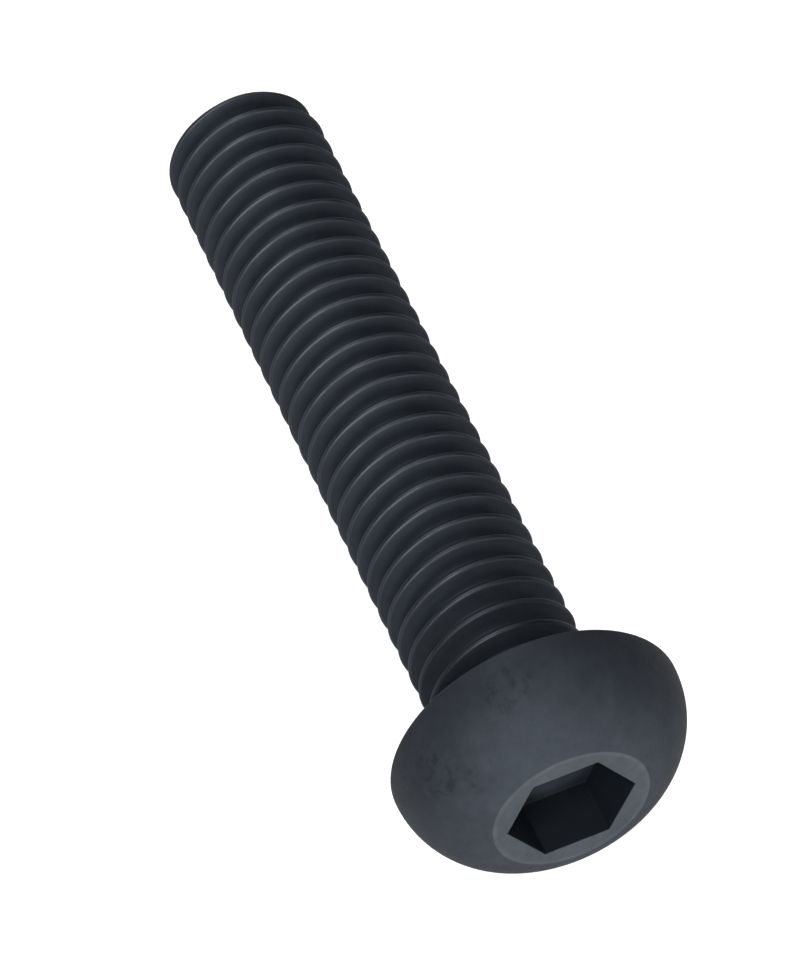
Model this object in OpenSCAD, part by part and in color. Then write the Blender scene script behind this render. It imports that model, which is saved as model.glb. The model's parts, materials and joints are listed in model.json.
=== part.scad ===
// Button head screw with a hexagon socket, threaded up to the head, lying on its side.
// Upright, its axis is Z: the bearing face under the head is at z = 0, the head is above
// and the thread below. lie_down() rests it on the head's rim and the thread's last crest.

/* [Thread] */
// Thread size: outside diameter of the thread before its running allowance
thread_size = 6; // [5.6:0.1:6.4]
// Distance from one crest to the next
pitch = 1; // [0.8:0.05:1.25]
// Length from the bearing face to the tip
shank_length = 30; // [16:1:40]
// How far the real outside diameter is under the size
allowance = 0.026; // [0:0.002:0.06]
// Radius that rounds off the tip
tip_round = 1.1; // [0.6:0.1:1.6]
// Facets in one turn of the thread
turn_steps = 24; // [16:4:32]

/* [Neck] */
// Diameter of the plain neck between thread and head
neck_diameter = 5.3; // [5.2:0.05:5.4]
// Length of the plain neck
neck_length = 0.7; // [0.5:0.1:1.2]
// Fillet between neck and bearing face
neck_fillet = 0.4; // [0.35:0.05:0.5]

/* [Head] */
// Widest diameter of the head
head_diameter = 10.5; // [9.5:0.1:12]
// Height of the head
head_height = 3.35; // [3:0.05:4.4]
// Diameter of the flat ring on top, around the socket
ring_diameter = 5.6; // [5.2:0.05:7]
// Round on the rim, next to the bearing face
rim_round = 0.12; // [0.05:0.01:0.3]

/* [Socket] */
// Width across the flats of the hexagon
key_width = 4.02; // [3:0.01:4.3]
// Depth of the hexagon below the flat ring
key_depth = 2.2; // [1.5:0.1:2.4]

/* [Pose] */
// Turn of the screw about its own axis as it lies
roll = 36; // [0:0.5:360]
// Turn of the thread against the hexagon
thread_turn = 297.5; // [0:0.5:360]

/* [Hidden] */
$fn = 96;
black_oxide = [0.09, 0.1, 0.11];

// Metric thread: 60 degrees between flanks, flat crests an eighth of a pitch wide, round roots
crest_radius = (thread_size - allowance) / 2;
root_radius = crest_radius - 0.6134 * pitch;
root_round = 0.1443 * pitch;
root_edge = [root_round * cos(30), root_radius + root_round * (1 - sin(30))];

// One pitch of the thread as [distance along the axis, radius], from one crest to the next
thread_section = [
    [-pitch / 16, crest_radius],
    [pitch / 16, crest_radius],
    [pitch / 2 - root_edge.x, root_edge.y],
    [pitch / 2, root_radius],
    [pitch / 2 + root_edge.x, root_edge.y]
];

// Space that the thread is trimmed to, which only meets it at the tip and the neck
trim_margin = 0.05;
trim_radius = crest_radius + trim_margin;
tip_centre = [trim_radius - tip_round, tip_round - shank_length];

// The dome is one arc, upright at the rim and ending at the flat ring
rim_radius = head_diameter / 2;
dome_drop = rim_radius - ring_diameter / 2;
dome_round = (pow(head_height - rim_round, 2) + pow(dome_drop, 2)) / (2 * dome_drop);

// Last full crest on the side that lies on the floor, as a distance below the bearing face
tip_rise = sqrt(pow(tip_round, 2) - pow(tip_round - trim_margin, 2));
full_thread = tip_round - shank_length - tip_rise;
crest_shift = pitch * (roll + thread_turn) / 360;
last_crest = crest_shift + pitch * floor((-full_thread - crest_shift) / pitch);

// Tilt at which the rim's round and that crest both touch the floor
rest_line = [last_crest + rim_round, rim_radius - rim_round - crest_radius];
rest_tilt = atan(rest_line.y / rest_line.x) + asin(rim_round / norm(rest_line));
rest_height = (rim_radius - rim_round) * cos(rest_tilt) + rim_round * (1 - sin(rest_tilt));
head_reach = head_height * cos(rest_tilt) + ring_diameter / 2 * sin(rest_tilt);
tip_reach = tip_round + tip_centre.x * sin(rest_tilt) - tip_centre.y * cos(rest_tilt);

// A helical strip of the section, turn by turn, closed by a fan at each end
module thread_rod() {
    turns = ceil(shank_length / pitch) + 4;
    steps = turns * turn_steps;
    bottom = -pitch * (turns - 2);
    last = len(thread_section) - 1;
    wide = last + 1;
    top = steps - turn_steps;
    side = [
        for (i = [0 : steps], p = thread_section)
            let (turn = i / turn_steps)
            [p.y * cos(360 * turn), p.y * sin(360 * turn), bottom + pitch * turn + p.x]
    ];
    bottom_centre = len(side);
    top_centre = bottom_centre + 1;
    ends = [
        [0, 0, bottom + pitch / 2],
        [0, 0, bottom + pitch * (turns - 1 / 2)]
    ];
    // Corner numbers along each end's rim: once round the helix, then back down the section
    bottom_rim = [
        for (i = [0 : turn_steps]) i * wide,
        for (j = [last : -1 : 0]) j
    ];
    top_rim = [
        for (i = [top : steps]) i * wide + last,
        for (j = [last - 1 : -1 : 0]) steps * wide + j,
        top * wide + last
    ];
    polyhedron(
        points = concat(side, ends),
        faces = [
            for (i = [0 : steps - 1], j = [0 : last - 1])
                each [
                    [i * wide + j, i * wide + j + 1, (i + 1) * wide + j + 1],
                    [i * wide + j, (i + 1) * wide + j + 1, (i + 1) * wide + j]
                ],
            for (i = [0 : top - 1])
                each [
                    [i * wide + last, (i + turn_steps) * wide, (i + 1 + turn_steps) * wide],
                    [i * wide + last, (i + 1 + turn_steps) * wide, (i + 1) * wide + last]
                ],
            for (k = [0 : len(bottom_rim) - 2])
                [bottom_centre, bottom_rim[k], bottom_rim[k + 1]],
            for (k = [0 : len(top_rim) - 2])
                [top_centre, top_rim[k + 1], top_rim[k]]
        ],
        convexity = 10
    );
}

// Half outline that trims the thread: a rounded tip, and a cone that runs out inside the neck
module trim_outline() {
    runout_radius = neck_diameter / 2 - 0.2;
    intersection() {
        union() {
            translate(tip_centre)
                circle(r = tip_round);
            translate([0, -shank_length])
                square([tip_centre.x, tip_round]);
            translate([0, tip_centre.y])
                square([trim_radius, shank_length]);
        }
        polygon([
            [0, -shank_length],
            [2 * trim_radius, -shank_length],
            [2 * trim_radius, -neck_length - pitch - trim_radius],
            [trim_radius, -neck_length - pitch],
            [runout_radius, -neck_length / 2],
            [0, -neck_length / 2]
        ]);
    }
}

// Half outline of the neck: a fillet under the head, then plain, then tapering below the roots
module neck_outline() {
    taper_radius = root_radius - 0.1;
    polygon([
        [0, rim_round],
        [neck_diameter / 2, rim_round],
        [neck_diameter / 2, -neck_length],
        [taper_radius, -neck_length - pitch],
        [0, -neck_length - pitch]
    ]);
    difference() {
        translate([0, -neck_fillet])
            square([neck_diameter / 2 + neck_fillet, neck_fillet + rim_round]);
        translate([neck_diameter / 2 + neck_fillet, -neck_fillet])
            circle(r = neck_fillet);
    }
}

// Half outline of the head: bearing face, rim, dome and flat ring
module head_outline() {
    intersection() {
        translate([rim_radius - dome_round, rim_round])
            circle(r = dome_round);
        translate([0, rim_round])
            square([rim_radius, head_height - rim_round]);
    }
    translate([rim_radius - rim_round, rim_round])
        circle(r = rim_round);
    square([rim_radius - rim_round, 3 * rim_round]);
}

module socket() {
    translate([0, 0, head_height - key_depth])
        cylinder(h = key_depth + 1, d = key_width / cos(30), $fn = 6);
}

module lie_down() {
    translate([(tip_reach - head_reach) / 2, 0, rest_height])
        rotate([0, 90 - rest_tilt, 0])
            rotate([0, 0, roll])
                children();
}

module screw() {
    color(black_oxide)
        lie_down()
            difference() {
                union() {
                    rotate_extrude()
                        head_outline();
                    rotate_extrude()
                        neck_outline();
                    intersection() {
                        rotate([0, 0, thread_turn])
                            thread_rod();
                        rotate_extrude()
                            trim_outline();
                    }
                }
                socket();
            }
}

screw();
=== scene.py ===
import json
import bmesh
import bpy
import numpy as np
from math import asin, atan2, cos, pi, radians, sin, sqrt, tan
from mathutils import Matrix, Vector


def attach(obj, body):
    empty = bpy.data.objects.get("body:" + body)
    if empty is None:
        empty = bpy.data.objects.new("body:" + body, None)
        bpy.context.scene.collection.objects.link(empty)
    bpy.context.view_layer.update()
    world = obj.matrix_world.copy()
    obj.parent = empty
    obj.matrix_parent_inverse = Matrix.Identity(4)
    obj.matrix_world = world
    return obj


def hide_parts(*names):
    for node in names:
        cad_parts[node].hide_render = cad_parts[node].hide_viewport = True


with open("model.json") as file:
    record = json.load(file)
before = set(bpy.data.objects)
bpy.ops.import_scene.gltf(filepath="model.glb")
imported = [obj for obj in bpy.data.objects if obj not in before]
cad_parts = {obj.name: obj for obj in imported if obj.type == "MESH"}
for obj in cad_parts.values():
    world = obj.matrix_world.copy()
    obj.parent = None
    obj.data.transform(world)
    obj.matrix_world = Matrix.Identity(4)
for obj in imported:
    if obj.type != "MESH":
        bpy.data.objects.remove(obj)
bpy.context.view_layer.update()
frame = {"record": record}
mm = 0.001
scene = bpy.context.scene
mounts = {mount["name"]: mount for mount in frame["record"]["mounts"]}


def outwards(azimuth, elevation):
    # Direction from the screw towards something that stands at these angles in degrees
    turn, lift = radians(azimuth), radians(elevation)
    return Vector((sin(turn) * cos(lift), -cos(turn) * cos(lift), sin(lift)))


# ---- camera, on the side that shows the head, high enough to look along the whole screw

camera = {
    "azimuth": 69.21,
    "elevation": 54.21,
    "distance": 184.34 * mm,
    "aim": (-1.649 * mm, 0.789 * mm, 0),
    "lens": 189.04,
    "clipStart": 10 * mm,
}


def makeCamera():
    data = bpy.data.cameras.new("camera")
    data.lens = camera["lens"]
    data.clip_start = camera["clipStart"]
    eye = bpy.data.objects.new("camera", data)
    scene.collection.objects.link(eye)
    back = outwards(camera["azimuth"], camera["elevation"])
    eye.location = Vector(camera["aim"]) + back * camera["distance"]
    eye.rotation_euler = (-back).to_track_quat("-Z", "Y").to_euler()
    scene.camera = eye


makeCamera()
print("camera placed")

# ---- room: a pale floor, soft lamps and no other light

room = {
    "floorSize": 4.0,
    "floorColour": (0.6, 0.6, 0.6, 1),
    "floorRoughness": 0.9,
    "floorGlow": 0.8,  # seen by the camera, not by the screw
    "skyStrength": 0.0,
    "lampDistance": 0.6,
    "lampSize": 0.34,
}

# Each lamp: azimuth and elevation of where it stands, and its power
lamps = {
    "frontTop": (69, 63, 2.0),
    "frontLow": (69, 15, 1.95),
    "rightLow": (114, 15, 0.90),
    "leftHigh": (42, 36, 0.66),
    "backHigh": (279, 42, 1.4),
}


def makeFloor():
    size = room["floorSize"] / 2
    mesh = bpy.data.meshes.new("floor")
    corners = [(-size, -size, 0), (size, -size, 0), (size, size, 0), (-size, size, 0)]
    mesh.from_pydata(corners, [], [(0, 1, 2, 3)])
    floor = bpy.data.objects.new("floor", mesh)
    scene.collection.objects.link(floor)
    paint = bpy.data.materials.new("floorPaint")
    paint.use_nodes = True
    shader = paint.node_tree.nodes["Principled BSDF"]
    shader.inputs["Base Color"].default_value = room["floorColour"]
    shader.inputs["Roughness"].default_value = room["floorRoughness"]
    shader.inputs["Specular IOR Level"].default_value = 0.0
    shader.inputs["Emission Color"].default_value = (1, 1, 1, 1)
    seen = paint.node_tree.nodes.new("ShaderNodeLightPath")
    glow = paint.node_tree.nodes.new("ShaderNodeMath")
    glow.operation = "MULTIPLY"
    glow.inputs[1].default_value = room["floorGlow"]
    paint.node_tree.links.new(seen.outputs["Is Camera Ray"], glow.inputs[0])
    paint.node_tree.links.new(glow.outputs[0], shader.inputs["Emission Strength"])
    mesh.materials.append(paint)


def makeSky():
    sky = bpy.data.worlds.new("sky")
    sky.use_nodes = True
    background = sky.node_tree.nodes["Background"]
    background.inputs["Color"].default_value = (1, 1, 1, 1)
    background.inputs["Strength"].default_value = room["skyStrength"]
    scene.world = sky
    scene.view_settings.view_transform = "Standard"


def makeLamp(name, azimuth, elevation, power):
    data = bpy.data.lights.new(name, "AREA")
    data.shape = "DISK"
    data.size = room["lampSize"]
    data.energy = power
    lamp = bpy.data.objects.new(name, data)
    scene.collection.objects.link(lamp)
    out = outwards(azimuth, elevation)
    lamp.location = out * room["lampDistance"]
    lamp.rotation_euler = (-out).to_track_quat("-Z", "Y").to_euler()


makeFloor()
makeSky()
for lampName, lampPlace in lamps.items():
    makeLamp(lampName, *lampPlace)
print("room lit")

# ---- screw: upright in its own axes, bearing face at height 0, head above and thread below

screw = {
    "headDiameter": 10.5 * mm,
    "ringDiameter": 5.6 * mm,
    "ringEdgeRound": 0.3 * mm,
    "rimRound": 0.12 * mm,
    "keyWidth": 4.02 * mm,
    "keyDepth": 2.2 * mm,
    "keyCornerRound": 0.07 * mm,
    "mouthWidth": 0.015 * mm,  # small round at the socket's mouth
    "mouthDepth": 0.03 * mm,
    "socketFillet": 0.02 * mm,
    "neckDiameter": 5.3 * mm,
    "neckLength": 0.7 * mm,
    "neckFillet": 0.4 * mm,
    "neckTaper": 0.1 * mm,  # how far the neck's taper ends below the roots
    "pitch": 1 * mm,
    "rootDepth": 0.6134,  # depth of the thread, and round at its root, in pitches
    "rootRound": 0.1443,
    "flankAngle": 30,
    "crestRound": 0.1 * mm,
    "runoutDepth": 0.2 * mm,  # how far the run-out's cone ends inside the neck
    "trimMargin": 0.05 * mm,  # how far the trimming surface stands off the crests
    "trimBlend": 0.04 * mm,  # width over which two surfaces of the thread's ends meet
    "tipRound": 1.1 * mm,
    "tipStart": 0.07 * mm,  # height above the flat end at which the helical rows stop
    "roll": 36,
    "threadTurn": 297.5,
    "columns": 120,
    "cornerCrowding": 0.75,  # closeness of the columns at the hexagon's corners, 0 to 1
    "sharpAngle": 40,  # edges that turn by more degrees stay sharp
}

headAxis = Vector(mounts["hex_socket"]["axis"]).normalized()
mouthCentre = Vector(mounts["hex_socket"]["pos_m"])
headHeight = (mouthCentre - Vector(mounts["bearing_face"]["pos_m"])).dot(headAxis)
bearingCentre = mouthCentre - headAxis * headHeight
crestRadius = mounts["thread"]["dims"]["r_mm"] * mm
shankLength = mounts["thread"]["dims"]["length_mm"] * mm + screw["neckLength"]
rootRadius = crestRadius - screw["rootDepth"] * screw["pitch"]
trimTop = crestRadius + screw["trimMargin"]
angles = np.arange(screw["columns"]) * 2 * pi / screw["columns"]


def arcPoints(centre, radius, start, end, count):
    # Circle in the half plane: centre plus radius times (cos, sin), from start to end in degrees
    turn = np.radians(np.linspace(start, end, count))
    return np.stack([centre[0] + radius * np.cos(turn), centre[1] + radius * np.sin(turn)], 1)


def linePoints(start, end, count):
    # Straight line: start plus a share of the way, with a point held close to each end
    hold = 0.04
    inner = np.linspace(hold, 1 - hold, count)[1:-1]
    share = np.concatenate([[0, hold], inner, [1 - hold, 1]])[:, None]
    return np.array(start) + share * (np.array(end) - np.array(start))


def smoothLower(a, b):
    # Lower of two values, with a parabola where they are closer than the blend's width
    width = screw["trimBlend"]
    near = np.clip(width - np.abs(a - b), 0, None) / width
    return np.minimum(a, b) - near ** 2 * width / 4


def smoothUpper(a, b):
    # Upper of two values, blended in the same way
    return -smoothLower(-a, -b)


def hexagonRadius(turn, apothem, cornerRound):
    # Flat side: apothem over the cosine from its middle. Corner: far side of its small circle
    off = np.abs(np.mod(turn, pi / 3) - pi / 6)
    flat = apothem / np.cos(off)
    cornerCentre = (apothem - cornerRound) / cos(pi / 6)
    lean = pi / 6 - off
    reach = np.sqrt(np.clip(cornerRound ** 2 - (cornerCentre * np.sin(lean)) ** 2, 0, None))
    corner = cornerCentre * np.cos(lean) + reach
    onFlat = apothem * np.tan(off) <= (apothem - cornerRound) * tan(pi / 6)
    return np.where(onFlat, flat, corner)


def crowdedAngles(share):
    # Columns drawn towards the hexagon's corners by a sine of six times the angle
    return angles - share * screw["cornerCrowding"] * np.sin(6 * angles) / 6


def socketRows():
    # Hexagon rings: out over the floor, up the walls and over the mouth's elliptical round
    apothem, fillet = screw["keyWidth"] / 2, screw["socketFillet"]
    bottom = headHeight - screw["keyDepth"]
    mouthStart = headHeight - screw["mouthDepth"]
    roundSize = np.array((screw["mouthWidth"], screw["mouthDepth"]))
    roundCentre = np.array((apothem + screw["mouthWidth"], mouthStart))
    outline = np.concatenate([
        linePoints((0, bottom), (apothem - fillet, bottom), 5),
        arcPoints((apothem - fillet, bottom + fillet), fillet, -90, 0, 5)[1:],
        linePoints((apothem, bottom + fillet), (apothem, mouthStart), 6)[1:],
        (roundCentre + roundSize * arcPoints((0, 0), 1, 180, 90, 6))[1:],
    ])
    turn = crowdedAngles(1)
    corner = screw["keyCornerRound"] * np.clip(outline[:, :1] / apothem, 0, 1)
    radius = hexagonRadius(turn[None, :], outline[:, :1], corner)
    height = np.repeat(outline[:, 1:], len(angles), 1)
    return radius, height, np.repeat(turn[None, :], len(outline), 0)


def ringRows(outerRadius):
    # Flat ring: each ring between the hexagon and the circle is their weighted mean
    share = np.array([0.05, 0.2, 0.4, 0.6, 0.8, 0.95, 1])[:, None]
    turn = np.stack([crowdedAngles(1 - part) for part in share[:, 0]])
    mouth = screw["keyWidth"] / 2 + screw["mouthWidth"]
    inner = hexagonRadius(turn, mouth, screw["keyCornerRound"])
    radius = (1 - share) * inner + share * outerRadius
    return radius, np.full_like(radius, headHeight), turn


def headOutline():
    # Edge of the flat ring, dome, rim, bearing face, fillet and neck, as radius and height.
    # The dome's circle stands upright at the rim, and the edge's circle touches it from inside
    rim, rimRound = screw["headDiameter"] / 2, screw["rimRound"]
    drop, climb = rim - screw["ringDiameter"] / 2, headHeight - rimRound
    dome = (climb ** 2 + drop ** 2) / (2 * drop)
    domeCentre = (rim - dome, rimRound)
    edge = screw["ringEdgeRound"]
    edgeClimb = climb - edge
    edgeCentre = (domeCentre[0] + sqrt((dome - edge) ** 2 - edgeClimb ** 2), headHeight - edge)
    meet = np.degrees(asin(edgeClimb / (dome - edge)))
    neck, fillet = screw["neckDiameter"] / 2, screw["neckFillet"]
    return np.concatenate([
        arcPoints(edgeCentre, edge, 90, meet, 4),
        arcPoints(domeCentre, dome, meet, 0, 32)[1:],
        arcPoints((rim - rimRound, rimRound), rimRound, 0, -90, 6)[1:],
        linePoints((rim - rimRound, 0), (neck + fillet, 0), 5)[1:],
        arcPoints((neck + fillet, -fillet), fillet, 90, 180, 8)[1:],
        np.array([(neck, -(fillet + screw["neckLength"]) / 2)]),
    ])


def threadSection():
    # One pitch from crest to crest: rounded crest, straight flanks and round root,
    # as distance along the axis and radius
    crestRound, pitch = screw["crestRound"], screw["pitch"]
    rootRound, flankAngle = screw["rootRound"] * pitch, screw["flankAngle"]
    crestCentre = (pitch / 16 - crestRound * tan(radians(flankAngle)), crestRadius - crestRound)
    crest = arcPoints(crestCentre, crestRound, 90, flankAngle, 5)
    root = arcPoints((pitch / 2, rootRadius + rootRound), rootRound, flankAngle - 180, -90, 4)
    flank = crest[-1] + np.array([[1 / 3], [2 / 3]]) * (root[0] - crest[-1])
    side = np.concatenate([crest, flank, root])
    back = np.stack([pitch - side[::-1, 0], side[::-1, 1]], 1)[1:]
    return np.concatenate([side, back])


def trimRadius(height):
    # Surface that the thread is cut back to: the least of a cone at the neck, a cylinder
    # and the tip's round, whose radius falls as the root of its own square less the depth's
    runout, tipRound = screw["neckDiameter"] / 2 - screw["runoutDepth"], screw["tipRound"]
    halfNeck = screw["neckLength"] / 2
    slope = (trimTop - runout) / (halfNeck + screw["pitch"])
    cone = runout + slope * (-height - halfNeck)
    below = np.clip(tipRound - shankLength - height, 0, tipRound)
    tip = trimTop - tipRound + np.sqrt(tipRound ** 2 - below ** 2)
    return np.minimum(np.minimum(cone, trimTop), tip)


def neckRadius(height):
    # Plain neck, then a straight taper that ends below the roots
    share = np.clip((-height - screw["neckLength"]) / screw["pitch"], 0, 1)
    return screw["neckDiameter"] / 2 * (1 - share) + (rootRadius - screw["neckTaper"]) * share


def threadRows(top, bottom):
    # Helical rows: height falls along the section and climbs one pitch in each turn.
    # Heights past either end are held at that end, where the surface is round again
    section = threadSection()[:-1]
    pitch = screw["pitch"]
    turns = int((top - bottom) / pitch) + 4  # spare turns, so that both ends are passed
    along = (np.arange(turns)[:, None] * pitch + section[None, :, 0]).ravel()
    radius = np.tile(section[:, 1], turns)
    lift = pitch * (angles - radians(screw["threadTurn"])) / (2 * pi)
    start = pitch * np.ceil((top - lift.min()) / pitch + 1)
    height = np.clip(start - along[:, None] + lift[None, :], bottom, top)
    cut = smoothLower(np.repeat(radius[:, None], len(angles), 1), trimRadius(height))
    held = smoothUpper(cut, neckRadius(height))
    atEnd = (height >= top) | (height <= bottom)
    ends = np.where(height >= top, neckRadius(height), trimRadius(height))
    return np.where(atEnd, ends, held), height, len(section)


def tipOutline(bottom):
    # Last stretch of the tip's round, a quarter circle, and the flat end in to the axis
    tipRound = screw["tipRound"]
    centre = (trimTop - tipRound, tipRound - shankLength)
    start = np.degrees(asin((bottom - centre[1]) / tipRound))
    flat = linePoints((centre[0], -shankLength), (0, -shankLength), 5)[1:]
    return np.concatenate([arcPoints(centre, tipRound, start, -90, 6)[1:], flat])


def spunRows(outline):
    # Outline turned about the axis: the same radius and height at every angle
    count = len(angles)
    turn = np.repeat(angles[None, :], len(outline), 0)
    return np.repeat(outline[:, :1], count, 1), np.repeat(outline[:, 1:], count, 1), turn


def rowFaces(rowCount, first, sectionRows=0):
    # Quads between neighbouring rows and columns, the last column joined to the first.
    # On a helix, past the last column a row meets the one a whole pitch up
    count = len(angles)
    row, column = np.meshgrid(np.arange(rowCount - 1), np.arange(count), indexing="ij")
    nextColumn = (column + 1) % count
    nextRow = np.where(nextColumn == 0, row - sectionRows, row)
    quads = np.stack([row * count + column, (row + 1) * count + column,
                      (nextRow + 1) * count + nextColumn, nextRow * count + nextColumn], -1)
    return quads[nextRow >= 0] + first


def makeScrew():
    # Rows from the socket's floor to the tip's centre, each a ring around the axis
    top, bottom = -screw["neckLength"], screw["tipStart"] - shankLength
    outline = headOutline()
    threadRadius, threadHeight, sectionRows = threadRows(top, bottom)
    threadAngles = np.repeat(angles[None, :], len(threadRadius), 0)
    upper = [
        socketRows(),
        ringRows(outline[0, 0]),
        spunRows(outline[1:]),
        spunRows(np.array([(screw["neckDiameter"] / 2, top)])),
    ]
    lower = [
        spunRows(np.array([(trimRadius(np.array(bottom)), bottom)])),
        spunRows(tipOutline(bottom)),
    ]
    blocks = upper + [(threadRadius, threadHeight, threadAngles)] + lower
    radius, height, turn = (np.concatenate([block[i] for block in blocks]) for i in range(3))
    upperRows = sum(len(block[0]) for block in upper)
    lowerRows = sum(len(block[0]) for block in lower)
    threadStart = upperRows * len(angles)
    faces = np.concatenate([
        rowFaces(upperRows, 0),
        rowFaces(len(threadRadius), threadStart, sectionRows),
        rowFaces(lowerRows, threadStart + threadRadius.size),
    ])
    across = Vector((0, 1, 0))
    downwards = across.cross(headAxis)
    turn = turn + radians(screw["roll"])
    places = (np.array(bearingCentre)
              + (radius * np.cos(turn))[..., None] * np.array(downwards)
              + (radius * np.sin(turn))[..., None] * np.array(across)
              + height[..., None] * np.array(headAxis))

    mesh = bpy.data.meshes.new("buttonHeadScrew")
    mesh.from_pydata(places.reshape(-1, 3).tolist(), [], faces.tolist())
    sheet = bmesh.new()
    sheet.from_mesh(mesh)
    samePlace = 1e-4 * mm
    bmesh.ops.remove_doubles(sheet, verts=sheet.verts, dist=samePlace)
    bmesh.ops.dissolve_degenerate(sheet, edges=sheet.edges, dist=samePlace)
    sheet.to_mesh(mesh)
    sheet.free()
    mesh.shade_smooth()
    mesh.set_sharp_from_angle(angle=radians(screw["sharpAngle"]))
    piece = bpy.data.objects.new("buttonHeadScrew", mesh)
    scene.collection.objects.link(piece)
    return piece


piece = makeScrew()
print("screw made")

# ---- finish: black oxide on the forged head, the turned face and the rolled thread

# Sizes, heights above the bearing face and distances from the axis are in millimetres,
# and shares, shades and gains go from 0 to 1
finish = {
    "headColour": (0.0299, 0.0351, 0.0439, 1),
    "threadColour": (0.0154, 0.0186, 0.0236, 1),
    "faceColour": (0.0548, 0.0616, 0.0714, 1),
    # painted shade: the near-black colour put on the socket's walls, its floor near them and the
    # groove under the head
    "recessShadeColour": (0.0052, 0.0068, 0.0092, 1),
    "crestColour": (0.058, 0.063, 0.073, 1),
    "headRoughness": 0.6,
    "roughnessSpread": 0.06,
    "crestRoughness": 0.42,
    "smudgeRoughness": 0.08,  # added where a smudge lies
    "crestMetal": 0.8,
    "crestDepth": 0.07,
    "crestFade": (-0.9, -2.3),  # heights between which the bare crests begin
    "headBlur": 0.05,  # softness of the border between head and thread
    "edgeBlur": 0.03,  # softness of the face's and the socket's borders
    "faceEdge": 2.83,
    "lipWidth": 0.16,
    "lipGain": 0.15,
    "socketEdge": 2.45,
    "floorFade": (1.3, 2.2),  # distances between which the socket's floor takes painted shade towards its walls
    "neckFade": (-2.35, -1.75),  # heights between which the first groove under the head takes painted shade
    # painted light on the dome next to the face, and painted shade towards the rim, for how the
    # lamps fall on it
    "ringPaintedLight": 0.07,
    "ringFade": (2.9, 3.7),
    "rimPaintedShade": 0.4,
    "rimFade": (3.2, 5.25),
    "cloudSize": 1.3,
    "cloudSpread": 0.13,
    "mottleSize": 0.42,
    "mottleSpread": 0.11,
    "smudgeSize": 0.45,
    "smudgeShade": 0.46,
    # Dark smudges on the head: place along the axes downwards, across and towards the head,
    # from the bearing face's centre, and how far each reaches
    "smudges": [
        ((-4.9, -1.2, 1.3), 1.1),
        ((-4.6, -1.85, 1.5), 1.2),
        ((-2.3, -4.15, 1.8), 1.6),
        ((-2.4, -3.1, 2.7), 0.8),
    ],
    "grainSize": 0.09,
    "grainHeight": 0.004,
    "streakShade": 0.12,
    "streakHeight": 0.8,  # against the grain's
}


def placeNode(tree, kind, inputs=None, **settings):
    # A plain value is set on its socket, and another node's output is linked to it
    node = tree.nodes.new(kind)
    for name, value in settings.items():
        setattr(node, name, value)
    for name, value in (inputs or {}).items():
        if isinstance(value, bpy.types.NodeSocket):
            tree.links.new(value, node.inputs[name])
        else:
            node.inputs[name].default_value = value
    return node


def calc(tree, operation, first, second):
    # Sum, product or the like of two values
    return placeNode(tree, "ShaderNodeMath", {0: first, 1: second}, operation=operation).outputs[0]


def times(tree, first, *others):
    # Product of all the values
    for other in others:
        first = calc(tree, "MULTIPLY", first, other)
    return first


def opposite(tree, share):
    # What the share leaves of 1
    return calc(tree, "SUBTRACT", 1.0, share)


def rise(tree, value, start, end, low=0.0, high=1.0, kind="SMOOTHSTEP"):
    # Goes from low to high as the value goes from start to end, whichever is the larger
    inputs = {"Value": value, "From Min": start, "From Max": end, "To Min": low, "To Max": high}
    return placeNode(tree, "ShaderNodeMapRange", inputs, interpolation_type=kind).outputs["Result"]


def between(tree, share, low, high):
    # Straight mix of two values, low at share 0 and high at share 1
    return rise(tree, share, 0.0, 1.0, low, high, "LINEAR")


def blend(tree, share, first, second, kind="MIX"):
    # Sockets 0, 6 and 7 are the colour mix's share and two colours, and 2 is its result
    return placeNode(tree, "ShaderNodeMix", {0: share, 6: first, 7: second},
                     data_type="RGBA", blend_type=kind).outputs[2]


def newGroup(name, inputs, outputs):
    tree = bpy.data.node_groups.new(name, "ShaderNodeTree")
    for side, sockets in (("INPUT", inputs), ("OUTPUT", outputs)):
        for label, kind in sockets.items():
            tree.interface.new_socket(label, in_out=side, socket_type="NodeSocket" + kind)
    return tree, tree.nodes.new("NodeGroupInput").outputs, tree.nodes.new("NodeGroupOutput")


def useGroup(tree, group, inputs):
    return placeNode(tree, "ShaderNodeGroup", inputs, node_tree=group).outputs


def makeScrewPlace():
    # Position in millimetres on the screw's own axes, its distance from the axis,
    # and its height above the bearing face: object position, moved and turned back
    tree, given, result = newGroup(
        "screwPlace", {"Vector": "Vector"},
        {"Place": "Vector", "Radius": "Float", "Height": "Float"})
    lean = (0, atan2(headAxis.x, headAxis.z), 0)
    place = placeNode(tree, "ShaderNodeMapping", {
        "Vector": given["Vector"], "Location": bearingCentre, "Rotation": lean,
        "Scale": (mm, mm, mm)}, vector_type="TEXTURE").outputs[0]
    parts = placeNode(tree, "ShaderNodeSeparateXYZ", {0: place}).outputs
    across = placeNode(tree, "ShaderNodeCombineXYZ", {0: parts[0], 1: parts[1]}).outputs[0]
    radius = placeNode(tree, "ShaderNodeVectorMath", {0: across}, operation="LENGTH")
    tree.links.new(place, result.inputs["Place"])
    tree.links.new(radius.outputs["Value"], result.inputs["Radius"])
    tree.links.new(parts[2], result.inputs["Height"])
    return tree


def makeCloud():
    # Soft mottling: noise of the given size, spread evenly about 1
    tree, given, result = newGroup(
        "oxideCloud", {"Place": "Vector", "Size": "Float", "Spread": "Float"},
        {"Shade": "Float"})
    scale = calc(tree, "DIVIDE", 1.0, given["Size"])
    noise = placeNode(tree, "ShaderNodeTexNoise", {
        "Vector": given["Place"], "Scale": scale, "Detail": 4.0, "Roughness": 0.55}).outputs[0]
    swing = rise(tree, noise, 0.3, 0.7, -1.0, 1.0, "LINEAR")
    shade = calc(tree, "ADD", times(tree, swing, given["Spread"]), 1.0)
    tree.links.new(shade, result.inputs["Shade"])
    return tree


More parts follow.
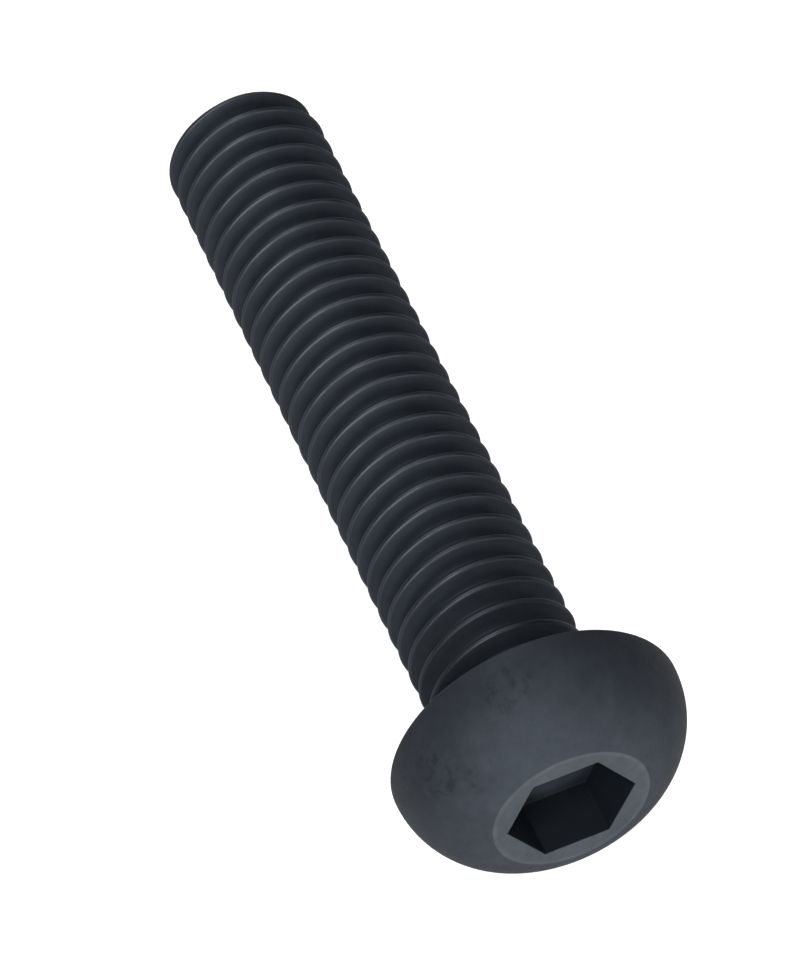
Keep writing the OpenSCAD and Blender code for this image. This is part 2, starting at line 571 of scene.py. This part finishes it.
def makeSmudge():
    # Dark spots that cluster around one place: fine noise above a limit, fading with distance
    tree, given, result = newGroup(
        "darkSmudge", {"Place": "Vector", "Centre": "Vector", "Reach": "Float", "Size": "Float"},
        {"Mask": "Float"})
    scale = calc(tree, "DIVIDE", 1.0, given["Size"])
    noise = placeNode(tree, "ShaderNodeTexNoise", {
        "Vector": given["Place"], "Scale": scale, "Detail": 5.0, "Roughness": 0.7}).outputs[0]
    away = placeNode(tree, "ShaderNodeVectorMath", {0: given["Place"], 1: given["Centre"]},
                     operation="DISTANCE").outputs["Value"]
    near = rise(tree, calc(tree, "DIVIDE", away, given["Reach"]), 1.0, 0.25)
    tree.links.new(times(tree, rise(tree, noise, 0.42, 0.68), near), result.inputs["Mask"])
    return tree


def makeStreaks():
    # Rolling marks: noise drawn out around the axis, fine along it and across the flanks
    tree, given, result = newGroup(
        "rollingStreaks", {"Place": "Vector", "Radius": "Float"}, {"Streak": "Float"})
    coarse, fine = 0.35, 7.0
    parts = placeNode(tree, "ShaderNodeSeparateXYZ", {0: given["Place"]}).outputs
    drawn = placeNode(tree, "ShaderNodeCombineXYZ", {
        0: times(tree, parts[0], coarse), 1: times(tree, parts[1], coarse),
        2: times(tree, parts[2], fine)}).outputs[0]
    noise = placeNode(tree, "ShaderNodeTexNoise", {
        "Vector": drawn, "W": times(tree, given["Radius"], fine), "Scale": 1.0,
        "Detail": 2.0}, noise_dimensions="4D").outputs[0]
    tree.links.new(noise, result.inputs["Streak"])
    return tree


def makeBlackOxide():
    material = bpy.data.materials.new("blackOxide")
    material.use_nodes = True
    tree = material.node_tree
    shader = tree.nodes["Principled BSDF"]
    shader.inputs["Specular IOR Level"].default_value = 0.33
    shader.inputs["Specular Tint"].default_value = (0.72, 0.84, 1.0, 1)

    position = placeNode(tree, "ShaderNodeTexCoord").outputs["Object"]
    at = useGroup(tree, makeScrewPlace(), {"Vector": position})
    place, radius, height = at["Place"], at["Radius"], at["Height"]
    streak = useGroup(tree, makeStreaks(), {"Place": place, "Radius": radius})["Streak"]
    cloudGroup, smudgeGroup = makeCloud(), makeSmudge()
    cloud, mottle = (
        useGroup(tree, cloudGroup, {
            "Place": place, "Size": finish[kind + "Size"], "Spread": finish[kind + "Spread"],
        })["Shade"] for kind in ("cloud", "mottle"))
    smudge = 0.0
    for centre, reach in finish["smudges"]:
        mask = useGroup(tree, smudgeGroup, {
            "Place": place, "Centre": centre, "Reach": reach, "Size": finish["smudgeSize"],
        })["Mask"]
        smudge = calc(tree, "MAXIMUM", mask, smudge)

    # Where each surface is, as masks over radius and height
    top, crest = headHeight / mm, crestRadius / mm
    mouthDepth, floorHeight = screw["mouthDepth"] / mm, top - screw["keyDepth"] / mm
    edge, lipWidth, blur = finish["faceEdge"], finish["lipWidth"], finish["edgeBlur"]
    socketEdge, crestDepth = finish["socketEdge"], finish["crestDepth"]
    onHead = rise(tree, height, -finish["headBlur"], finish["headBlur"])
    offHead = opposite(tree, onHead)
    inMouth = rise(tree, height, top - mouthDepth * 1.5, top - mouthDepth)
    onFace = times(tree, inMouth, rise(tree, radius, edge + blur, edge - blur))
    onLip = times(tree, onFace, rise(tree, radius, edge - lipWidth * 1.5, edge - lipWidth * 0.5))
    nearAxis = rise(tree, radius, socketEdge + blur, socketEdge - blur)
    inSocket = times(tree, nearAxis, onHead, opposite(tree, inMouth))
    # Painted shade: the socket's walls, its floor towards the walls and the first groove under the
    # head are darkened where shade falls
    socketPaintedShade = calc(tree, "MAXIMUM", rise(tree, height, floorHeight - 0.01, floorHeight + 0.02),
                  rise(tree, radius, *finish["floorFade"]))
    neckPaintedShade = times(tree, rise(tree, height, *finish["neckFade"]), offHead)
    inPaintedShade = calc(tree, "MAXIMUM", times(tree, inSocket, socketPaintedShade), neckPaintedShade)
    onCrest = times(
        tree,
        rise(tree, radius, crest - crestDepth * 1.4, crest - crestDepth * 0.6),
        rise(tree, height, *finish["crestFade"]),
        rise(tree, cloud, 0.95, 1.03, 0.7, 1.0))
    smudge = times(tree, smudge, opposite(tree, onFace))

    # Shade: mottling; painted shade darkening the dome towards its rim and painted light on the
    # dome next to the face; a paler lip, rolling marks and smudges
    # Painted light and shade: the dome brightens next to the face and darkens linearly towards its
    # rim
    domeLightAndShade = calc(
        tree, "ADD",
        rise(tree, radius, *finish["rimFade"], 1.0, 1.0 - finish["rimPaintedShade"], "LINEAR"),
        rise(tree, radius, *finish["ringFade"], finish["ringPaintedLight"], 0.0))
    streakShade = rise(tree, streak, 0.3, 0.7, 1.0 - finish["streakShade"],
                       1.0 + finish["streakShade"], "LINEAR")
    shade = times(
        tree, cloud, mottle,
        between(tree, onHead, 1.0, domeLightAndShade),
        rise(tree, onLip, 0.0, 1.0, 1.0, 1.0 + finish["lipGain"]),
        between(tree, offHead, 1.0, streakShade),
        rise(tree, smudge, 0.0, 1.0, 1.0, 1.0 - finish["smudgeShade"]))
    shades = placeNode(tree, "ShaderNodeCombineXYZ", {0: shade, 1: shade, 2: shade}).outputs[0]

    # Colour: the base tone of each surface, painted shade in the socket and the groove under the
    # head, shaded, and the bare crests
    colour = blend(tree, onHead, finish["threadColour"], finish["headColour"])
    colour = blend(tree, onFace, colour, finish["faceColour"])
    colour = blend(tree, inPaintedShade, colour, finish["recessShadeColour"])
    colour = blend(tree, 1.0, colour, shades, "MULTIPLY")
    colour = blend(tree, onCrest, colour, finish["crestColour"])
    tree.links.new(colour, shader.inputs["Base Color"])
    tree.links.new(times(tree, onCrest, finish["crestMetal"]), shader.inputs["Metallic"])

    # Roughness and fine relief
    grain = placeNode(tree, "ShaderNodeTexNoise", {
        "Vector": place, "Scale": 1 / finish["grainSize"], "Detail": 3.0,
        "Roughness": 0.6}).outputs[0]
    rough = rise(tree, grain, 0.3, 0.7, finish["headRoughness"] - finish["roughnessSpread"],
                 finish["headRoughness"] + finish["roughnessSpread"], "LINEAR")
    rough = between(tree, onCrest, rough, finish["crestRoughness"])
    rough = calc(tree, "ADD", rough, times(tree, smudge, finish["smudgeRoughness"]))
    tree.links.new(rough, shader.inputs["Roughness"])
    relief = calc(tree, "ADD", grain, times(tree, streak, offHead, finish["streakHeight"]))
    bump = placeNode(tree, "ShaderNodeBump", {
        "Height": relief, "Distance": finish["grainHeight"] * mm})
    tree.links.new(bump.outputs[0], shader.inputs["Normal"])
    return material


piece.data.materials.append(makeBlackOxide())
print("finish made")
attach(piece, "root")
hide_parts("screw")
